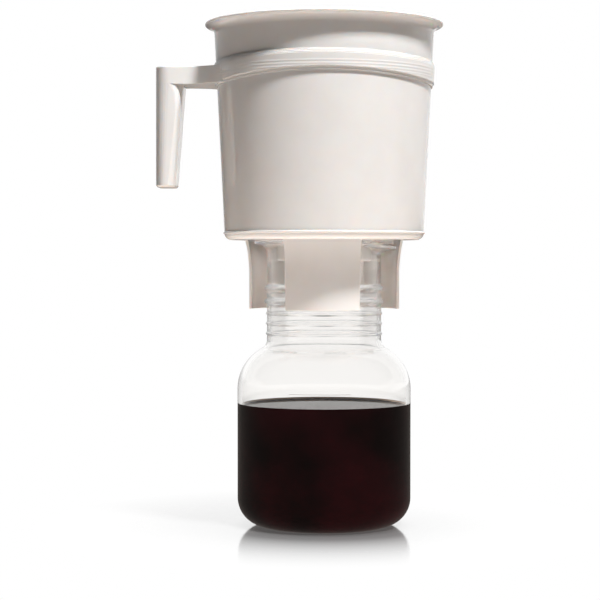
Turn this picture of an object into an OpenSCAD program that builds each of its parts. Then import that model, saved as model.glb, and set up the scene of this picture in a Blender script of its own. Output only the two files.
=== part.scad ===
// Cold brew coffee maker: a lidless plastic brewing container with a hoop handle
// stands on the mouth of a glass decanter. Millimetres, +Z up. The origin is on the
// common axis, on the surface that the decanter stands on. The handle points to -X.

/* [Decanter] */
// Height of the decanter's mouth above the table
decanter_h = 205; // [200:1:230]
// Outer radius of the glass body
body_r = 62.3; // [58:0.1:72]
// Radius of the round corner above the flat foot
foot_round = 20; // [10:0.5:26]
// Height where the straight body ends and the shoulder starts
shoulder_z = 98; // [85:1:105]
// Radius of the shoulder's curve
shoulder_round = 34; // [26:0.5:38]
// Radius of the hollow curve between the shoulder and the neck
neck_blend = 7; // [4:0.5:8]
// Outer radius of the neck
neck_r = 41; // [39:0.1:44]
// Thickness of the glass wall
glass_t = 3; // [2:0.1:4]
// Thickness of the glass floor
glass_floor_t = 5.5; // [4:0.1:9]
// How far the mouth flares out from the neck
mouth_flare = 8; // [5:0.1:10]

/* [Decanter neck ribs and pour lip] */
// Distance from the mouth down to the upper one of the two bold neck ribs
bold_rib_drop = 34.4; // [25:0.1:40]
// Distance between the two bold ribs
bold_rib_pitch = 9.3; // [7:0.1:11]
// How far a bold rib stands out
bold_rib_r = 2; // [1:0.1:2.5]
// Distance from the mouth down to the top one of the fine ribs
fine_rib_drop = 52.4; // [50:0.1:54]
// Distance between the fine ribs
fine_rib_pitch = 7.2; // [5:0.1:8]
// Number of fine ribs
fine_ribs = 3; // [1:1:3]
// How far a fine rib stands out
fine_rib_r = 0.9; // [0.4:0.1:1.5]
// Distance of the pour lip's own axis from the decanter's axis
pour_offset = 25; // [20:0.5:28]
// How much further the pour lip flares than the rest of the mouth
pour_extra = 3; // [1:0.1:3.4]
// Angle by which the pour lip droops
pour_tilt = 9; // [0:1:12]
// Angle from the edge of a collar tab to the middle of the pour lip
pour_turn = 17.4; // [17:0.2:28]

/* [Coffee] */
// Height of the coffee's surface above the table
coffee_z = 86.4; // [40:0.1:95]
// Gap between the coffee's solid and the glass
coffee_film = 0.1; // [0.05:0.01:0.3]

/* [Brewing container] */
// Height of the container from its underside to the rim
container_h = 154.7; // [135:0.1:180]
// Radius of the wall where it meets the underside
wall_low_r = 71.4; // [68:0.1:78]
// Radius of the wall where the rim starts to flare
wall_top_r = 78.6; // [78:0.1:84]
// Thickness of the plastic wall, floor and rim
wall_t = 2; // [1.6:0.1:3]
// How far the rim flares out from the wall
rim_flare = 5.7; // [3:0.1:9]
// Radius of the corner between wall and underside
base_round = 5; // [4:0.1:8]
// Radius of the bead that runs round the wall above the corner
bead_r = 0.8; // [0.4:0.1:1.2]
// Gap between the underside and the decanter's mouth
seat_gap = 0.3; // [0.1:0.1:1]

/* [Collar tabs] */
// Number of collar tabs round the decanter's mouth
tabs = 3; // [3:1:4]
// Angle that each tab covers
tab_angle = 57.2; // [45:0.1:60]
// How far the tabs hang below the underside
tab_drop = 49.6; // [44:0.1:60]
// Thickness of a tab
tab_t = 1.8; // [1.4:0.1:2.5]
// Height above the tabs' lower edge where they start to flare
tab_straight = 24; // [10:0.5:30]
// How far the tabs flare out where they meet the underside
tab_flare = 2.9; // [1:0.1:4]
// Gap between the tabs and the decanter's mouth
collar_gap = 1.7; // [1.5:0.1:3]

/* [Filter well and drain] */
// Gap between the filter well and the inside of the decanter's neck
well_gap = 4; // [2:0.1:5]
// Depth of the filter well below the underside
well_depth = 15.3; // [12:0.1:17]
// Width of the ledge that the filter pad rests on
ledge_w = 5; // [3:0.1:7]
// Depth of the drain sump below the filter well
sump_depth = 19; // [14:0.5:22]
// Number of fins that hold the filter pad up over the sump
fins = 6; // [4:1:8]
// Thickness of a fin
fin_t = 1.6; // [1.2:0.1:2.2]
// Radius of the drain hole
drain_r = 7.5; // [6:0.1:8.5]
// Length of the drain spout below the sump
spout_l = 6; // [4:0.5:7]
// Radius of the rounded lower corners of the well and the sump
well_round = 2; // [1:0.1:2.5]

/* [Filter pad] */
// Thickness of the felt filter pad
pad_t = 10; // [6:0.5:11]
// Gap round and under the felt filter pad
pad_gap = 0.3; // [0.2:0.05:0.6]

/* [Drain stopper] */
// Radial gap between the stopper's plug and the drain hole
plug_gap = 0.08; // [0.03:0.01:0.1]
// Length of the plug's tip above the sump's floor
plug_tip = 2; // [1:0.5:4]
// Width of the stopper's flange beyond its plug
flange_w = 3.5; // [2:0.1:5]
// Thickness of the stopper's flange
flange_t = 2.5; // [1.5:0.1:4]
// Radius of the stopper's pull knob
knob_r = 5.5; // [4:0.1:6.5]
// Length of the pull knob below the flange
knob_l = 7; // [5:0.5:12]

/* [Handle hoop] */
// Distance from the rim down to the hoop's upper edge at its two sides
hoop_drop = 29; // [18:0.1:45]
// Height of the hoop at its two sides
hoop_h = 17.2; // [15:0.1:22]
// How much higher the hoop's lower edge is at the front and the back
hoop_rise_low = 6; // [1:0.1:7]
// How much higher the hoop's upper edge is at the front and the back
hoop_rise_top = 3.3; // [0.5:0.1:6]
// Thickness of the hoop
hoop_t = 1.9; // [1.5:0.1:3]
// Depth by which the hoop's edges are drawn in
hoop_step = 0.9; // [0.3:0.1:1.1]
// Height of the soft shoulder along the hoop's upper edge
hoop_step_top = 3; // [1:0.1:3.5]
// Height of the step along the hoop's lower edge
hoop_step_low = 2.6; // [1:0.1:3]
// Radial gap between the hoop and the container's wall
hoop_fit = 0.05; // [0.03:0.01:0.1]

/* [Handle arm and grip] */
// Gap for the fingers between the hoop and the top of the grip
finger_gap = 22.2; // [16:0.1:32]
// Thickness of the grip at the top, along X
grip_top_t = 18.9; // [15:0.1:22]
// Thickness of the grip at its lower end, along X
grip_end_t = 15.1; // [12:0.1:18]
// Width of the grip along Y
grip_w = 36; // [28:0.5:40]
// Length of the grip below the arm
grip_l = 73; // [60:0.5:90]
// Radius of the grip's outer corners
grip_outer_round = 10; // [6:0.5:12]
// Radius of the grip's inner corners
grip_inner_round = 2.5; // [1.5:0.1:4]
// Radius of the grip's inner corners where they meet the arm
grip_neck_round = 9; // [5:0.5:10]
// Length of the grip over which its inner corners fill out
grip_neck_l = 18; // [8:0.5:24]
// Size of the bevel round the grip's lower end
grip_bevel = 1.2; // [0.5:0.1:3]
// Thickness of the arm, along Z
arm_t = 12.4; // [9:0.1:14]
// Height of the arm's underside above the hoop's lower edge
arm_low = 2.2; // [1:0.1:4]
// Radius of the curves that widen the arm into the hoop
arm_blend = 30; // [15:1:34]

/* [Hidden] */

$fn = 96;
big_fn = 720;                 // Segments of the hoop's long edge curves
rib_fn = 32;                  // Segments of the small curves of ribs and bead
hull_fn = 32;                 // Segments of the grip's rounded corners
cut = 1;                      // Overrun of every cut
weld = 0.5;                   // Overlap of joined shapes
slice = 0.02;                 // Thickness of the slices that the grip is stretched over
first_tab_turn = 30;          // Turn of the first tab from +X, so that one tab faces -Y

// The hoop's layers from the wall outwards, as shares of the step's depth, of the lower
// step's height and of the upper shoulder's height.
hoop_layers = [[1, 0, 0], [0.45, 0.75, 0.33], [0.12, 0.9, 0.67], [0, 1, 1]];

// Decanter
neck_in_r = neck_r - glass_t;
mouth_r = neck_r + mouth_flare + glass_t / 2;
lip_z = decanter_h - mouth_flare - glass_t;
pour_r = neck_r - pour_offset;
pour_flare = mouth_flare + pour_extra;
pour_z = decanter_h - pour_flare - glass_t;

// Container
base_z = decanter_h + seat_gap;
rim_z = base_z + container_h;
flare_z = rim_z - rim_flare - wall_t;
taper = (wall_top_r - wall_low_r) / (flare_z - base_z);
function wall_r(z) = wall_low_r + taper * (z - base_z);

// A length to the nearest hundredth of a millimetre, so that shapes that share it meet exactly.
function neat(x) = round(100 * x) / 100;

// Collar, well and drain
tab_in_r = mouth_r + collar_gap;
tab_r = tab_in_r + tab_t;
tab_z = base_z - tab_drop;
tab_flare_z = tab_z + tab_straight;
tab_flare_h = base_z - tab_flare_z;
tab_curve = neat((pow(tab_flare_h, 2) + pow(tab_flare, 2)) / (2 * tab_flare));
well_r = neck_in_r - well_gap;
well_z = base_z - well_depth;
ledge_z = well_z + wall_t;
sump_r = well_r - ledge_w;
sump_z = well_z - sump_depth;
sump_floor_z = sump_z + wall_t;
spout_z = sump_z - spout_l;
spout_r = drain_r + wall_t;

// Hoop
hoop_top_z = rim_z - hoop_drop;
hoop_z = hoop_top_z - hoop_h;
hoop_r = wall_r(hoop_z + hoop_h / 2) + hoop_t;
hoop_reach = wall_r(hoop_top_z + hoop_rise_top) + hoop_t;
function arc_r(rise) = (pow(hoop_reach, 2) + pow(rise, 2)) / (2 * rise);

// Arm and grip
grip_reach = hoop_r + finger_gap + grip_top_t;
arm_z = hoop_z + arm_low;
arm_half = grip_w / 2;
blend_y = arm_half + arm_blend;
blend_x = sqrt(pow(hoop_r + arm_blend, 2) - pow(blend_y, 2));
root_x = blend_x * hoop_r / (hoop_r + arm_blend);
root_y = blend_y * hoop_r / (hoop_r + arm_blend);
grip_z = arm_z - grip_l;
function grip_t(z) = grip_end_t + (grip_top_t - grip_end_t) * (z - grip_z) / grip_l;

// ---- Profiles, drawn as radius along X and height along Y ----

// A wall end that curls outwards over a quarter turn and ends in a round edge.
// r: outer radius of the wall, z: height where the curl starts.
module curled_lip(r, z, flare, t) {
    intersection() {
        translate([r + flare, z]) difference() {
            circle(r = flare + t);
            circle(r = flare);
        }
        translate([r - t, z]) square([flare + t, flare + t]);
    }
    translate([r + flare, z + flare + t / 2]) circle(d = t);
}

// The space that a curled lip leaves open inside it.
module curled_mouth(r, z, flare, t) {
    difference() {
        translate([0, z]) square([r + flare, flare + t + cut]);
        translate([r + flare, z]) circle(r = flare + t);
    }
}

// A quarter-round lower corner with the flat and the wall next to it.
module round_foot(r, z, round, top) {
    translate([0, z]) square([r - round, top - z]);
    translate([0, z + round]) square([r, top - z - round]);
    translate([r - round, z + round]) circle(r = round);
}

// Outer or inner shape of the bottle, without its mouth. blend: radius of the hollow curve
// between shoulder and neck.
module bottle(r, z, round, curve, neck, blend, top) {
    blend_x = neck + blend;
    blend_rise = sqrt(pow(curve + blend, 2) - pow(blend_x - r + curve, 2));
    blend_z = shoulder_z + floor(100 * blend_rise) / 100;
    intersection() {
        union() {
            round_foot(r, z, round, shoulder_z);
            translate([0, shoulder_z - weld]) square([r - curve, curve + weld]);
            translate([r - curve, shoulder_z]) circle(r = curve);
            translate([0, shoulder_z]) square([neck, top - shoulder_z]);
            difference() {
                polygon([[0, shoulder_z], [r - curve, shoulder_z], [blend_x, blend_z], [0, blend_z]]);
                translate([blend_x, blend_z]) circle(r = blend);
            }
        }
        square([r, top]);
    }
}

// Half section of a ring rib on the neck, a distance drop below the mouth: a round crest
// with a hollow curve of the same radius down to the neck on each side.
module rib(drop, r) {
    half = floor(100 * sqrt(3) * r) / 100;
    translate([neck_r, decanter_h - drop]) {
        circle(r = r, $fn = rib_fn);
        difference() {
            polygon([[-weld, -half], [r, -half], [0, 0], [r, half], [-weld, half]]);
            for (side = [-1, 1]) translate([r, side * half]) circle(r = r, $fn = rib_fn);
        }
    }
}

// Outer or inner shape of the tapered container wall above its underside.
module bucket(inset) {
    low = base_z + inset;
    round = base_round - inset;
    side = neat(wall_r(low + round) - inset);
    translate([0, low]) square([side - round, round + weld]);
    translate([side - round, low + round]) circle(r = round);
    polygon([
        [0, low + round],
        [side, low + round],
        [wall_top_r - inset, flare_z],
        [0, flare_z]
    ]);
}

// Half section of the container without its collar tabs and fins.
module container_section() {
    difference() {
        union() {
            bucket(0);
            translate([neat(wall_r(base_z + base_round)), base_z + base_round])
                circle(r = bead_r, $fn = rib_fn);
            translate([0, well_z]) round_foot(well_r, 0, well_round, well_depth + weld);
            translate([0, sump_z]) round_foot(sump_r, 0, well_round, sump_depth + weld);
            translate([0, spout_z]) square([spout_r, spout_l + weld]);
        }
        bucket(wall_t);
        translate([0, flare_z - weld]) square([wall_top_r - wall_t, weld + cut]);
        translate([0, ledge_z]) square([well_r - wall_t, well_depth + cut]);
        translate([0, sump_floor_z]) square([sump_r - wall_t, sump_depth + cut]);
        translate([0, spout_z - cut]) square([drain_r, spout_l + wall_t + 2 * cut]);
    }
    curled_lip(wall_top_r, flare_z, rim_flare, wall_t);
}

// Half section of a collar tab: straight below, curling out to the underside.
module tab_section() {
    translate([tab_in_r, tab_z]) square([tab_t, tab_straight]);
    intersection() {
        translate([tab_r + tab_curve, tab_flare_z]) difference() {
            circle(r = tab_curve + tab_t, $fn = big_fn);
            circle(r = tab_curve, $fn = big_fn);
        }
        translate([tab_in_r, tab_flare_z])
            square([tab_t + tab_flare + cut, tab_flare_h + weld]);
    }
}

// ---- Sub-parts ----

// The pour lip is a second, smaller curled mouth that leans out of the first one.
module pour_frame() {
    rotate([0, 0, first_tab_turn - tab_angle / 2 - pour_turn])
        translate([pour_offset, 0, decanter_h])
            rotate([0, pour_tilt, 0])
                translate([0, 0, -decanter_h])
                    children();
}

module glass_decanter() {
    color([0.86, 0.93, 0.93, 0.45]) difference() {
        union() {
            rotate_extrude() {
                bottle(body_r, 0, foot_round, shoulder_round, neck_r, neck_blend, lip_z);
                for (i = [0 : 1]) rib(bold_rib_drop + i * bold_rib_pitch, bold_rib_r);
                for (i = [0 : fine_ribs - 1]) rib(fine_rib_drop + i * fine_rib_pitch, fine_rib_r);
                intersection() {
                    translate([0, lip_z - weld]) square([mouth_r + cut, decanter_h]);
                    union() {
                        curled_lip(neck_r, lip_z, mouth_flare, glass_t);
                        curled_mouth(neck_r, lip_z, mouth_flare, glass_t);
                    }
                }
            }
            intersection() {
                pour_frame() rotate_extrude() {
                    translate([0, pour_z - mouth_flare]) square([pour_r, mouth_flare]);
                    curled_lip(pour_r, pour_z, pour_flare, glass_t);
                    curled_mouth(pour_r, pour_z, pour_flare, glass_t);
                }
                cylinder(r = 2 * body_r, h = decanter_h - slice);
            }
        }
        rotate_extrude() {
            bottle(body_r - glass_t, glass_floor_t, foot_round - glass_t, shoulder_round - glass_t,
                neck_in_r, neck_blend + glass_t, lip_z + slice);
            curled_mouth(neck_r, lip_z, mouth_flare, glass_t);
        }
        pour_frame() rotate_extrude() {
            translate([0, pour_z - weld]) square([pour_r - glass_t, 2 * weld]);
            curled_mouth(pour_r, pour_z, pour_flare, glass_t);
        }
        translate([0, 0, decanter_h]) cylinder(r = 2 * body_r, h = body_r);
    }
}

module cold_brew() {
    color([0.08, 0.02, 0.02])
        rotate_extrude()
            intersection() {
                round_foot(body_r - glass_t - coffee_film, glass_floor_t + coffee_film,
                    foot_round - glass_t, coffee_z);
                square([body_r, coffee_z]);
            }
}

module brewing_container() {
    color([0.93, 0.92, 0.9]) {
        rotate_extrude() container_section();
        for (i = [0 : tabs - 1])
            rotate([0, 0, first_tab_turn - tab_angle / 2 + i * 360 / tabs])
                rotate_extrude(angle = tab_angle) tab_section();
        for (i = [0 : fins - 1])
            rotate([0, 0, i * 360 / fins])
                translate([spout_r, -fin_t / 2, sump_floor_z - weld])
                    cube([sump_r - wall_t / 2 - spout_r, fin_t, ledge_z - sump_floor_z + weld]);
    }
}

// A tapered ring round the container's wall, cut to the hoop's curved edges.
// step_low and step_top draw the edges in from the hoop's full height.
module hoop(t, step_low, step_top) {
    low = hoop_z - cut;
    top = hoop_top_z + hoop_rise_top + cut;
    intersection() {
        rotate_extrude() polygon([
            [wall_r(low) + hoop_fit, low],
            [wall_r(low) + t, low],
            [wall_r(top) + t, top],
            [wall_r(top) + hoop_fit, top]
        ]);
        rotate([90, 0, 0])
            linear_extrude(height = 4 * hoop_reach, center = true)
                intersection() {
                    difference() {
                        translate([0, hoop_top_z + hoop_rise_top - step_top - arc_r(hoop_rise_top)])
                            circle(r = arc_r(hoop_rise_top), $fn = big_fn);
                        translate([0, hoop_z + hoop_rise_low + step_low - arc_r(hoop_rise_low)])
                            circle(r = arc_r(hoop_rise_low), $fn = big_fn);
                    }
                    translate([-2 * hoop_reach, low]) square([4 * hoop_reach, top - low]);
                }
    }
}

// Plan of the arm: it leaves the grip at the arm's width and widens into the hoop.
module arm_plan() {
    difference() {
        polygon([
            [-blend_x, -arm_half],
            [-blend_x, arm_half],
            [-root_x, root_y],
            [0, root_y],
            [0, -root_y],
            [-root_x, -root_y]
        ]);
        for (side = [-1, 1])
            translate([-blend_x, side * blend_y]) circle(r = arm_blend, $fn = 180);
    }
    for (side = [-1, 1])
        translate([grip_outer_round - grip_reach, side * (arm_half - grip_outer_round)])
            circle(r = grip_outer_round);
    translate([-grip_reach, grip_outer_round - arm_half])
        square([grip_reach - blend_x + weld, 2 * (arm_half - grip_outer_round)]);
    translate([grip_outer_round - grip_reach, -arm_half])
        square([grip_reach - grip_outer_round - blend_x + weld, 2 * arm_half]);
}

// One thin slice of the grip: outer corners of one radius, inner corners of another.
module grip_slice(z, inset, inner_round) {
    for (side = [-1, 1]) {
        translate([grip_outer_round - grip_reach, side * (grip_w / 2 - grip_outer_round), z])
            cylinder(r = grip_outer_round - inset, h = slice, $fn = hull_fn);
        translate([grip_t(z) - grip_reach - inner_round, side * (grip_w / 2 - inner_round), z])
            cylinder(r = inner_round - inset, h = slice, $fn = hull_fn);
    }
}

module grip() {
    neck_mid_round = (grip_inner_round + grip_neck_round) / 2;
    hull() {
        grip_slice(grip_z, grip_bevel, grip_inner_round);
        grip_slice(grip_z + grip_bevel, 0, grip_inner_round);
        grip_slice(arm_z - grip_neck_l, 0, grip_inner_round);
        grip_slice(arm_z - grip_neck_l / 4, 0, neck_mid_round);
        grip_slice(arm_z + weld, 0, grip_neck_round);
    }
}

module handle_band() {
    wall_above = arm_t + 2 * cut;
    color([0.93, 0.92, 0.9]) {
        for (layer = hoop_layers)
            hoop(hoop_t - layer[0] * hoop_step, layer[1] * hoop_step_low, layer[2] * hoop_step_top);
        difference() {
            translate([0, 0, arm_z]) linear_extrude(height = arm_t) arm_plan();
            translate([0, 0, arm_z - cut])
                cylinder(r1 = wall_r(arm_z - cut) + hoop_fit,
                    r2 = wall_r(arm_z - cut + wall_above) + hoop_fit, h = wall_above);
        }
        grip();
    }
}

module felt_filter() {
    color([0.9, 0.87, 0.8])
        translate([0, 0, ledge_z + pad_gap])
            cylinder(r = well_r - wall_t - pad_gap, h = pad_t);
}

module drain_stopper() {
    plug_r = drain_r - plug_gap;
    flange_top = spout_z - pad_gap;
    flange_z = flange_top - flange_t;
    color([0.25, 0.25, 0.27]) {
        translate([0, 0, flange_z]) cylinder(r = plug_r, h = sump_floor_z + plug_tip - flange_z);
        translate([0, 0, flange_z]) cylinder(r = plug_r + flange_w, h = flange_t);
        translate([0, 0, flange_z - knob_l]) cylinder(r1 = knob_r, r2 = knob_r - 1, h = knob_l + weld);
    }
}

glass_decanter();
cold_brew();
brewing_container();
handle_band();
felt_filter();
drain_stopper();
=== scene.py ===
"""Looks of the cold brew coffee maker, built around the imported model. Metres, +Z up."""
import math

import bmesh
import bpy
from mathutils import Matrix, Vector, noise


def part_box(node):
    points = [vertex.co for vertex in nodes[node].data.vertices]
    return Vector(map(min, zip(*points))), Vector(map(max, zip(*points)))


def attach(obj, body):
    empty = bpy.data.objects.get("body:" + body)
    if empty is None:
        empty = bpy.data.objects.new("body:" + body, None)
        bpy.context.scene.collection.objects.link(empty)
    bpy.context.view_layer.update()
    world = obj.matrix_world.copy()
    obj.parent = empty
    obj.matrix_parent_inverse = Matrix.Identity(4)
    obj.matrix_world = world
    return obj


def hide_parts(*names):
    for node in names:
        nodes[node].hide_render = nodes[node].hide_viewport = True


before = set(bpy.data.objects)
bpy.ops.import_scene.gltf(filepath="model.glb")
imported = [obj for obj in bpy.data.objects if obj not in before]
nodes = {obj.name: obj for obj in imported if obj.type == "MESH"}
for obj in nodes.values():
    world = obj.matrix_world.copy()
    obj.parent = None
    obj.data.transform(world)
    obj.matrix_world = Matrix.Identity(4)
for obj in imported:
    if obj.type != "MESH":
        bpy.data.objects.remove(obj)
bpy.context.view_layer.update()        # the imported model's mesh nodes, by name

WHITE = (1.0, 1.0, 1.0)

# Camera: the photograph's view, level with the decanter's mouth and tilted slightly down
CAMERA_TURN = math.radians(2.0)    # How far round the object the camera stands, to its right
CAMERA_PLACE = Vector((-0.0173, -1.296, 0.189))    # Where it stands before that turn
CAMERA_TILT = math.radians(90 - 1.19)
CAMERA_LENS = 108                  # Focal length, in millimetres
CAMERA_SENSOR = 36                 # Width of the sensor, in millimetres

# Lamps and room. In a reflection the room is dim, with a white backdrop and a white ceiling.
AIM = Vector((0, 0, 0.25))         # What the lamps point at
WARM = (1.0, 0.895, 0.82)          # Colour of the light that the room and the floor give back
ROOM_LIGHT = 0.04                  # Strength of the room's own soft light
ROOM_GLOSS = 0.05                  # Strength of the room in a reflection
BACKDROP_SIDE = Vector((0.5, 0.866, 0))    # Where the middle of the backdrop is
BACKDROP_EDGE = (0.55, 0.85)       # Cosines of the angles from there where it ends and is full
CEILING_EDGE = (0.02, 0.16)        # Sines of the angles up where the ceiling starts and is full

# Floor. Its distances are from the middle of the decanter's foot.
FLOOR_HALF = 40.0                  # Half of its width
FLOOR_GREY = (0.20, 0.21)          # Colours of the floor, which takes the shadow
FLOOR_GLOW = 0.80                  # Glow that makes up the rest of its white
# The floor's glow is darkened near the object's foot: a painted contact shadow.
FLOOR_CONTACT_REACH = 0.14         # How near a piece darkens the glow
FLOOR_CONTACT = (0.35, 0.98)       # Openness of the surroundings where the glow is least and full
FLOOR_CONTACT_DARK = 0.3           # Share of the glow that is left where it is least
FLOOR_ROUGHNESS = 0.09             # Roughness and refraction index of the floor's gloss
FLOOR_IOR = 1.6
FLOOR_SHEEN = (1.6, 0.07, 0.2)     # Strength of the mirror image, and distances where it fades
FLOOR_FADE = (0.075, 0.21)         # Distances where the floor fades to plain white
FLOOR_BOUNCE = (3.0, 0.12)         # Strength as a light on the object, near it and away from it
FLOOR_BOUNCE_FADE = (0.16, 0.52)   # Distances where one turns into the other
FLOOR_GLOSS = 0.12                 # Strength in a reflection

# Plastic
PLASTIC_COLOURS = ((0.790, 0.778, 0.766), (0.812, 0.802, 0.792))
PLASTIC_BOUNCE = (0.50, 0.48, 0.46)    # Its colour as a light on itself: hollows keep their shade
PLASTIC_ROUGHNESS = (0.10, 0.15)
BEVEL_SAMPLES = 6

# Glass
GLASS_BENDS = 3.5                  # Bends of a ray in the glass before it goes straight on
NECK_CLEAR = 0.3                   # Share of rays that the thin neck lets straight through
NECK_HEIGHTS = (0.125, 0.145)      # Heights between which that share starts

# Coffee
# Lit and shaded copies of one coffee: the body's darker colour is painted shade, the top's lighter
# colour is painted light, and the edge's pale tan is painted light shining through the thin
# coffee.
COFFEE_BODY = ((0.0012, 0.0001, 0.0002), (0.0085, 0.0007, 0.0013))
COFFEE_TOP = ((0.010, 0.003, 0.0015), (0.020, 0.007, 0.003))
COFFEE_EDGE = ((0.22, 0.14, 0.08), (0.30, 0.20, 0.12))
COFFEE_IN_GLASS = 0.00015          # How far the coffee reaches into the glass, so no gap shows
COFFEE_FOOT = 0.017                # Radius of its rounded lower corner
MENISCUS_H = 0.0016                # Rise of its edge at the glass
MENISCUS_W = 0.0026                # Width of that rise
MENISCUS_CURL = 2.4                # How sharply it rises
MENISCUS_STEPS = 8
MENISCUS_THIN = 3                  # Steps next to the glass where the coffee is thin, painted pale as light shining through it

# Felt pad
FELT_EDGE = 0.0018                 # Radius of its soft edges
FELT_RINGS = 22                    # Rings of points on each of its faces
FELT_RINGS_OUT = 0.93              # Share of its radius that they spread over
FELT_STEPS = 6                     # Steps round each edge and down its side
FELT_INWARD = 0.0004               # How far its surface lies inside the profile, on average
FELT_MATTED = (420, 0.00016)       # Fine unevenness: scale in cycles per metre, and height
FELT_WAVES = (70, 0.00022)         # The same of its slow unevenness

# Hoop and grip
GRIP_TOP = 0.316                   # Height of the arm's underside, where the grip starts
GRIP_SIDE = -0.094                 # The grip lies beyond this X
GRIP_TAPER = 0.29                  # Share of its thickness that the grip loses down to its end
HOOP_RADIUS = 0.0802               # The hoop's face lies within this distance from the axis
HOOP_LINES = (0.3195, 0.3275)      # Heights between which the hoop has fine moulded lines
HOOP_LINE_PITCH = 0.0021
HOOP_LINE_DEPTH = 0.00009

LATHE_STEPS = 192                  # Points round a turned piece
CORNER_STEPS = 16                  # Steps round the coffee's lower corner


# ---- Node helpers ----

class Nodes:
    """A node tree, with short calls to add and join nodes. A source is an output or a value."""

    def __init__(self, tree):
        self.nodes = tree.nodes
        self.links = tree.links

    def add(self, kind, **inputs):
        node = self.nodes.new("ShaderNode" + kind)
        for key, source in inputs.items():
            self.put(source, node.inputs[key.replace("_", " ")])
        return node

    def put(self, source, socket):
        """Joins an output to a socket, or sets the socket to a value."""
        if isinstance(source, bpy.types.NodeSocket):
            self.links.new(source, socket)
        else:
            socket.default_value = source

    def operate(self, kind, operation, sources):
        node = self.add(kind)
        node.operation = operation
        for source, socket in zip(sources, node.inputs):
            self.put(source, socket)
        return node

    def number(self, operation, *sources):
        """The result of a sum on numbers."""
        return self.operate("Math", operation, sources).outputs["Value"]

    def vector(self, operation, *sources):
        """The node of a sum on vectors, whose result is its Vector or its Value."""
        return self.operate("VectorMath", operation, sources)

    def height_of(self, place):
        """The Z of a place or direction."""
        split = self.add("SeparateXYZ")
        self.put(place, split.inputs[0])
        return split.outputs["Z"]

    def spread(self, value, low, high, start=0.3, end=0.7, held=True, smooth=False):
        """Turns start to end of a value into low to high. held: it stops there, and doesn't
        run on at the same rate. smooth: it starts and ends gently."""
        node = self.add("MapRange", Value=value, From_Min=start, From_Max=end,
                        To_Min=low, To_Max=high)
        node.clamp = held
        if smooth:
            node.interpolation_type = "SMOOTHSTEP"
        return node.outputs["Result"]

    def chosen(self, start, choices):
        """start, or for some kinds of ray another source: {light path output: source}. Where
        a ray is of two of these kinds, the later one counts."""
        path = self.add("LightPath")
        value = start
        for ray, choice in choices.items():
            pick = self.add("Mix", Factor=path.outputs[ray])
            self.put(value, pick.inputs[2])
            self.put(choice, pick.inputs[3])
            value = pick.outputs[0]
        return value

    def colour_mix(self, factor, first, second, way="MIX"):
        node = self.add("Mix", Factor=factor)
        node.data_type = "RGBA"
        node.blend_type = way
        self.put(first, node.inputs[6])
        self.put(second, node.inputs[7])
        return node.outputs[2]

    def shader_mix(self, factor, first, second):
        node = self.add("MixShader", Fac=factor)
        self.put(first, node.inputs[1])
        self.put(second, node.inputs[2])
        return node.outputs[0]


class MaterialNodes(Nodes):
    """A new material's nodes, with its main shader and its patterns in object space."""

    def __init__(self, name):
        self.material = bpy.data.materials.new(name)
        self.material.use_nodes = True
        super().__init__(self.material.node_tree)
        self.shader = self.nodes["Principled BSDF"]
        self.surface = self.nodes["Material Output"].inputs["Surface"]

    def set(self, **inputs):
        """Gives the main shader these sources."""
        for key, source in inputs.items():
            self.put(source, self.shader.inputs[key.replace("_", " ")])

    def place(self):
        return self.add("TexCoord").outputs["Object"]

    def noise(self, scale, detail=3.0, roughness=0.5, stretch=(1, 1, 1)):
        """Noise in object space, with scale in cycles per metre."""
        mapping = self.add("Mapping", Vector=self.place(), Scale=stretch)
        texture = self.add("TexNoise", Vector=mapping.outputs["Vector"],
                           Scale=scale, Detail=detail, Roughness=roughness)
        return texture.outputs["Fac"]

    def blend(self, value, colours, start=0.3, end=0.7):
        """Blends two colours as a value goes from start to end."""
        ramp = self.add("ValToRGB", Fac=value)
        for stop, position, colour in zip(ramp.color_ramp.elements, (start, end), colours):
            stop.position = position
            stop.color = (*colour, 1)
        return ramp.outputs["Color"]

    def bump(self, height, distance, normal=None):
        node = self.add("Bump", Height=height, Distance=distance)
        if normal is not None:
            self.put(normal, node.inputs["Normal"])
        return node.outputs["Normal"]

    def softened(self, edge):
        """A normal that softens the piece's edges to this radius."""
        bevel = self.add("Bevel", Radius=edge)
        bevel.samples = BEVEL_SAMPLES
        return bevel.outputs["Normal"]

    def warm_unless(self, *rays):
        """The warm colour of given back light, but white for these kinds of ray."""
        plain = self.chosen(0.0, {ray: 1.0 for ray in rays})
        return self.colour_mix(plain, (*WARM, 1), (*WHITE, 1))


# ---- Materials: noise scales in cycles per metre, heights of bumps in metres ----

def hoop_lines(tree):
    """A height for the fine lines moulded round the hoop's face: 0 all over elsewhere."""
    place = tree.place()
    up = tree.height_of(place)
    flat = tree.vector("MULTIPLY", place, (1, 1, 0)).outputs["Vector"]
    reach = tree.vector("LENGTH", flat).outputs["Value"]
    wave = tree.number("SINE", tree.spread(up, 0, math.tau, 0, HOOP_LINE_PITCH, held=False))
    height = tree.spread(wave, 0, 1, -1, 1)
    low, high = HOOP_LINES
    soft = HOOP_LINE_PITCH / 4
    for limit in (tree.spread(up, 0, 1, low, low + soft),
                  tree.spread(up, 1, 0, high - soft, high),
                  tree.spread(reach, 1, 0, HOOP_RADIUS, HOOP_RADIUS + soft)):
        height = tree.number("MULTIPLY", height, limit)
    return height


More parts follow.
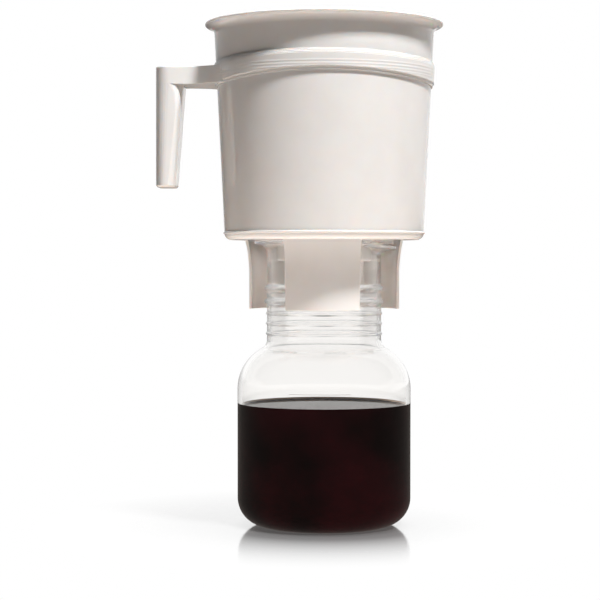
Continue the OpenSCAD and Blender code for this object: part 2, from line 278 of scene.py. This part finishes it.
def plastic(name, edge, lines=False):
    """Glossy off-white moulded plastic. edge: radius of its softened edges."""
    tree = MaterialNodes(name)
    cloud = tree.blend(tree.noise(55, detail=2), PLASTIC_COLOURS)
    on_itself = tree.add("LightPath").outputs["Is Diffuse Ray"]
    grain = tree.bump(tree.noise(1100, detail=2), 0.00001, tree.softened(edge))
    ripple = tree.bump(tree.noise(48, detail=1), 0.00006, grain)
    normal = tree.bump(hoop_lines(tree), HOOP_LINE_DEPTH, ripple) if lines else ripple
    tree.set(Base_Color=tree.colour_mix(on_itself, cloud, (*PLASTIC_BOUNCE, 1)),
             Roughness=tree.spread(tree.noise(90, detail=4), *PLASTIC_ROUGHNESS),
             Normal=normal, IOR=1.49, Subsurface_Weight=0.8,
             Subsurface_Radius=(1.0, 0.82, 0.7), Subsurface_Scale=0.0011)
    return tree.material


def clear_glass():
    """Clear glass with the faint waviness of a moulded bottle. Lamps shine through it."""
    tree = MaterialNodes("clear_glass")
    tree.set(Base_Color=(0.992, 0.984, 0.972, 1), Roughness=0.0, IOR=1.45, Transmission_Weight=1.0,
             Specular_IOR_Level=0.3,
             Normal=tree.bump(tree.noise(42, detail=2, stretch=(1, 1, 0.55)), 0.00010))
    path = tree.add("LightPath")
    deep = tree.number("GREATER_THAN", path.outputs["Ray Depth"], GLASS_BENDS)
    straight = tree.spread(tree.height_of(tree.place()), 0, NECK_CLEAR, *NECK_HEIGHTS)
    for ray in (deep, path.outputs["Is Shadow Ray"], path.outputs["Is Diffuse Ray"]):
        straight = tree.number("MAXIMUM", ray, straight)
    through = tree.add("BsdfTransparent", Color=(0.97, 0.965, 0.96, 1))
    tree.put(tree.shader_mix(straight, tree.shader.outputs["BSDF"], through.outputs["BSDF"]),
             tree.surface)
    return tree.material


def coffee(name, colours, roughness, specular):
    """Nearly black coffee with slow reddish clouds."""
    tree = MaterialNodes(name)
    tree.set(Base_Color=tree.blend(tree.noise(22, detail=3), colours, start=0.38, end=0.68),
             Roughness=roughness, IOR=1.34, Specular_IOR_Level=specular)
    return tree.material


def felt():
    """Dense off-white wool felt: matted fibres with painted shade between them, small flecks and a
    soft sheen.
    """
    tree = MaterialNodes("wool_felt")
    fibres = tree.noise(900, detail=8, roughness=0.75, stretch=(1, 1, 2.5))
    flecks = tree.noise(240, detail=5, roughness=0.7)
    colour = tree.blend(flecks, ((0.66, 0.60, 0.50), (0.84, 0.80, 0.72)), start=0.36, end=0.6)
    # Darker where the fibres' bump lies low: painted shade between the fibres.
    shade = tree.blend(fibres, ((0.72, 0.72, 0.72), WHITE), start=0.3, end=0.62)
    tree.set(Base_Color=tree.colour_mix(1.0, colour, shade, "MULTIPLY"),
             Roughness=tree.spread(flecks, 0.86, 1.0),
             Normal=tree.bump(fibres, 0.0006),
             Sheen_Weight=0.35, Sheen_Roughness=0.5, Specular_IOR_Level=0.2)
    return tree.material


def rubber():
    """Dark matt rubber with a fine grain and a paler bloom."""
    tree = MaterialNodes("dark_rubber")
    bloom = tree.noise(160, detail=5, roughness=0.6)
    tree.set(Base_Color=tree.blend(bloom, ((0.016, 0.016, 0.018), (0.034, 0.034, 0.037))),
             Roughness=tree.spread(bloom, 0.55, 0.75),
             Normal=tree.bump(tree.noise(2600, detail=2), 0.00002, tree.softened(0.0005)))
    return tree.material


def paint(piece, material):
    """Gives the whole piece one material."""
    piece.data.materials.clear()
    piece.data.materials.append(material)


# ---- Meshes ----

def show(name, data):
    """Puts a mesh, camera or lamp into the scene as an object."""
    thing = bpy.data.objects.new(name, data)
    bpy.context.scene.collection.objects.link(thing)
    return thing


def new_piece(name, mesh_data):
    """Turns a bmesh into a smooth object in the scene."""
    mesh = bpy.data.meshes.new(name)
    bmesh.ops.recalc_face_normals(mesh_data, faces=mesh_data.faces)
    mesh_data.to_mesh(mesh)
    mesh_data.free()
    for face in mesh.polygons:
        face.use_smooth = True
    return show(name, mesh)


def lathe(profile, slots=None):
    """Turns (radius, height) points round the Z axis into a closed solid that ends on the axis.
    slots: the material slot of each band between two points."""
    shape = bmesh.new()
    turns = [2 * math.pi * i / LATHE_STEPS for i in range(LATHE_STEPS)]
    rings = []
    for radius, z in profile:
        if radius == 0:
            rings.append([shape.verts.new((0, 0, z))])
        else:
            rings.append([shape.verts.new((radius * math.cos(a), radius * math.sin(a), z))
                          for a in turns])
    for band, (low, high) in enumerate(zip(rings, rings[1:])):
        for i in range(LATHE_STEPS):
            j = (i + 1) % LATHE_STEPS
            corners = [low[i % len(low)], low[j % len(low)],
                       high[j % len(high)], high[i % len(high)]]
            face = shape.faces.new(list(dict.fromkeys(corners)))
            face.material_index = slots[band] if slots else 0
    return shape


def arc(centre, radius, start, end, steps):
    """Points on an arc in the (radius, height) plane, from one angle to another, in degrees."""
    turns = [math.radians(start + (end - start) * i / steps) for i in range(steps + 1)]
    return [(centre[0] + radius * math.cos(a), centre[1] + radius * math.sin(a))
            for a in turns]


def coffee_piece():
    """The coffee: a body that touches the glass, and a surface that curls up at its edge."""
    low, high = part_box("cold_brew")
    radius = high.x + COFFEE_IN_GLASS
    floor = low.z - COFFEE_IN_GLASS
    corner = arc((radius - COFFEE_FOOT, floor + COFFEE_FOOT), COFFEE_FOOT, -90, 0, CORNER_STEPS)
    side = [(0, floor)] + corner + [(radius, high.z + MENISCUS_H)]
    edge = []
    for i in range(1, MENISCUS_STEPS + 1):
        share = i / MENISCUS_STEPS
        edge.append((radius - MENISCUS_W * share,
                     high.z + MENISCUS_H * (1 - share) ** MENISCUS_CURL))
    surface = [(radius * share, high.z) for share in (0.75, 0.5, 0.25, 0)]
    body, top, thin = range(3)
    slots = ([body] * (len(side) - 1) + [thin] * MENISCUS_THIN
             + [top] * (len(edge) - MENISCUS_THIN + len(surface)))
    piece = new_piece("coffee_surface_and_body", lathe(side + edge + surface, slots))
    # The body's colour is painted shade; the top's and the edge's colours are painted light.
    for material in (coffee("coffee_body_painted_shade", COFFEE_BODY, roughness=0.5, specular=0.0),
                     coffee("coffee_top_painted_light", COFFEE_TOP, roughness=0.05, specular=0.01),
                     coffee("coffee_edge_painted_light", COFFEE_EDGE, roughness=0.15, specular=0.5)):
        piece.data.materials.append(material)
    return piece


def felt_piece():
    """The felt pad: a disc with soft, slightly ragged edges and a matted face."""
    low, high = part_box("felt_filter")
    radius, thickness = high.x, high.z - low.z
    face = [radius * FELT_RINGS_OUT * i / FELT_RINGS for i in range(1, FELT_RINGS)]
    straight = thickness - 2 * FELT_EDGE
    profile = [(0, low.z)] + [(reach, low.z) for reach in face]
    profile += arc((radius - FELT_EDGE, low.z + FELT_EDGE), FELT_EDGE, -90, 0, FELT_STEPS)
    profile += [(radius, low.z + FELT_EDGE + straight * i / FELT_STEPS)
                for i in range(1, FELT_STEPS)]
    profile += arc((radius - FELT_EDGE, high.z - FELT_EDGE), FELT_EDGE, 0, 90, FELT_STEPS)
    profile += [(reach, high.z) for reach in reversed(face)] + [(0, high.z)]
    piece = new_piece("felt_pad", lathe(profile))
    middle = (low.z + high.z) / 2
    for vertex in piece.data.vertices:
        place = vertex.co.copy()
        outward = Vector((place.x / radius, place.y / radius, (place.z - middle) * 2 / thickness))
        matted = noise.fractal(place * FELT_MATTED[0], 1.0, 2.0, 3) * FELT_MATTED[1]
        waves = noise.noise(place * FELT_WAVES[0]) * FELT_WAVES[1]
        vertex.co = place - outward.normalized() * (FELT_INWARD - matted - waves)
    return piece


def handle_piece():
    """The hoop, arm and grip as packed, but with the grip drawn in towards its lower end."""
    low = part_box("handle_band")[0]
    mesh = nodes["handle_band"].data.copy()
    for vertex in mesh.vertices:
        if vertex.co.x < GRIP_SIDE and vertex.co.z < GRIP_TOP:
            drawn_in = GRIP_TAPER * (GRIP_TOP - vertex.co.z) / (GRIP_TOP - low.z)
            vertex.co.x = low.x + (vertex.co.x - low.x) * (1 - drawn_in)
    return show("hoop_and_grip", mesh)


# ---- Camera, lamps, room and floor ----

def make_camera():
    data = bpy.data.cameras.new("camera")
    data.lens = CAMERA_LENS
    data.sensor_width = CAMERA_SENSOR
    camera = show("camera", data)
    camera.location = Matrix.Rotation(CAMERA_TURN, 3, "Z") @ CAMERA_PLACE
    camera.rotation_euler = (CAMERA_TILT, 0, CAMERA_TURN)
    bpy.context.scene.camera = camera


def soft_box(name, turn, height, distance, size, watts):
    """A square lamp. turn: degrees to the right of the camera's side; height: degrees up."""
    data = bpy.data.lights.new(name, "AREA")
    data.shape = "RECTANGLE"
    data.size, data.size_y = size
    data.energy = watts
    turn, height = math.radians(turn), math.radians(height)
    away = Vector((math.sin(turn) * math.cos(height), -math.cos(turn) * math.cos(height),
                   math.sin(height)))
    lamp = show(name, data)
    lamp.location = AIM + away * distance
    lamp.rotation_euler = away.to_track_quat("Z", "Y").to_euler()
    lamp.visible_glossy = lamp.visible_transmission = False


def make_world():
    """A white backdrop for what the camera sees, also by way of glass and gloss. The room in
    front of it is dim, so glossy surfaces that face away from the backdrop keep their colour."""
    world = bpy.data.worlds.new("studio")
    bpy.context.scene.world = world
    world.use_nodes = True
    tree = Nodes(world.node_tree)
    direction = tree.add("TexCoord").outputs["Generated"]
    side = tree.vector("DOT_PRODUCT", direction, BACKDROP_SIDE).outputs["Value"]
    behind = tree.spread(side, ROOM_GLOSS, 1, *BACKDROP_EDGE, smooth=True)
    ceiling = tree.spread(tree.height_of(direction), ROOM_GLOSS, 1, *CEILING_EDGE, smooth=True)
    gloss = tree.chosen(tree.number("MAXIMUM", behind, ceiling), {"Transmission Depth": 1.0})
    rays = {"Is Glossy Ray": gloss, "Is Camera Ray": 1.0, "Is Transmission Ray": 1.0}
    white = tree.nodes["Background"]
    tree.put((*WHITE, 1), white.inputs["Color"])
    tree.put(tree.chosen(0.0, rays), white.inputs["Strength"])
    room = tree.add("Background", Color=(*WARM, 1), Strength=ROOM_LIGHT)
    seen = tree.chosen(0.0, {ray: 1.0 for ray in rays})
    tree.put(tree.shader_mix(seen, room.outputs[0], white.outputs[0]),
             tree.nodes["World Output"].inputs["Surface"])


def make_floor():
    """A white, glossy floor that takes a soft shadow and fades into the backdrop."""
    shape = bmesh.new()
    bmesh.ops.create_grid(shape, x_segments=8, y_segments=8, size=FLOOR_HALF)
    floor = new_piece("floor", shape)
    tree = MaterialNodes("floor_white")
    away = tree.vector("LENGTH", tree.place()).outputs["Value"]
    bounce = tree.spread(away, *FLOOR_BOUNCE, *FLOOR_BOUNCE_FADE)
    tint = tree.warm_unless("Is Camera Ray", "Is Transmission Ray")

    # Near the object: grey that takes the shadow, and a glow that makes up the white, darkened at
    # the foot as a painted contact shadow.
    # Painted contact shadow: the glow is darker where the surroundings are closed in.
    openness = tree.add("AmbientOcclusion", Distance=FLOOR_CONTACT_REACH)
    openness.samples = 8
    painted_contact_shadow = tree.spread(openness.outputs["AO"], FLOOR_CONTACT_DARK, 1, *FLOOR_CONTACT)
    glow = tree.number("MULTIPLY", painted_contact_shadow, FLOOR_GLOW)
    strength = tree.chosen(bounce, {"Is Camera Ray": glow, "Is Transmission Ray": glow})
    tree.set(Base_Color=tree.blend(tree.noise(3), [(grey,) * 3 for grey in FLOOR_GREY]),
             Roughness=1.0, Specular_IOR_Level=0.0,
             Emission_Color=tint, Emission_Strength=strength)

    # The mirror image of the object, which fades away from it.
    sheen = tree.add("BsdfGlossy", Color=(*WHITE, 1), Roughness=FLOOR_ROUGHNESS)
    fresnel = tree.add("Fresnel", IOR=FLOOR_IOR)
    share = tree.number("MULTIPLY", fresnel.outputs["Fac"],
                        tree.spread(away, FLOOR_SHEEN[0], 0, *FLOOR_SHEEN[1:]))
    near = tree.shader_mix(share, tree.shader.outputs["BSDF"], sheen.outputs["BSDF"])

    # Away from the object the floor is plain white.
    plain = tree.chosen(bounce, {"Is Camera Ray": 1.0, "Is Transmission Ray": 1.0})
    far = tree.add("Emission", Color=tint, Strength=plain)
    whole = tree.shader_mix(tree.spread(away, 0, 1, *FLOOR_FADE), near, far.outputs["Emission"])

    # In a reflection it is dim, so glossy walls keep their colour, but not in one inside glass.
    dim = tree.add("Emission", Color=tree.warm_unless("Transmission Depth"),
                   Strength=tree.chosen(FLOOR_GLOSS, {"Transmission Depth": 1.0}))
    mirrored = tree.add("LightPath").outputs["Is Glossy Ray"]
    tree.put(tree.shader_mix(mirrored, whole, dim.outputs["Emission"]), tree.surface)
    paint(floor, tree.material)


bpy.context.scene.view_settings.view_transform = "Standard"
make_camera()
make_world()
make_floor()
soft_box("key", turn=31, height=63, distance=1.25, size=(0.14, 0.14), watts=27)
soft_box("fill", turn=20, height=8, distance=2.4, size=(1.2, 1.0), watts=4)
soft_box("back", turn=180, height=28, distance=2.4, size=(1.4, 1.0), watts=28)

# ---- Looks ----

paint(nodes["glass_decanter"], clear_glass())
paint(nodes["brewing_container"], plastic("white_plastic", edge=0.0007))
paint(nodes["drain_stopper"], rubber())

handle = handle_piece()
paint(handle, plastic("white_handle_plastic", edge=0.0006, lines=True))
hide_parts("handle_band")
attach(handle, "container")

brew = coffee_piece()
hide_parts("cold_brew")
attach(brew, "decanter")

pad = felt_piece()
paint(pad, felt())
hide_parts("felt_filter")
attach(pad, "filter")
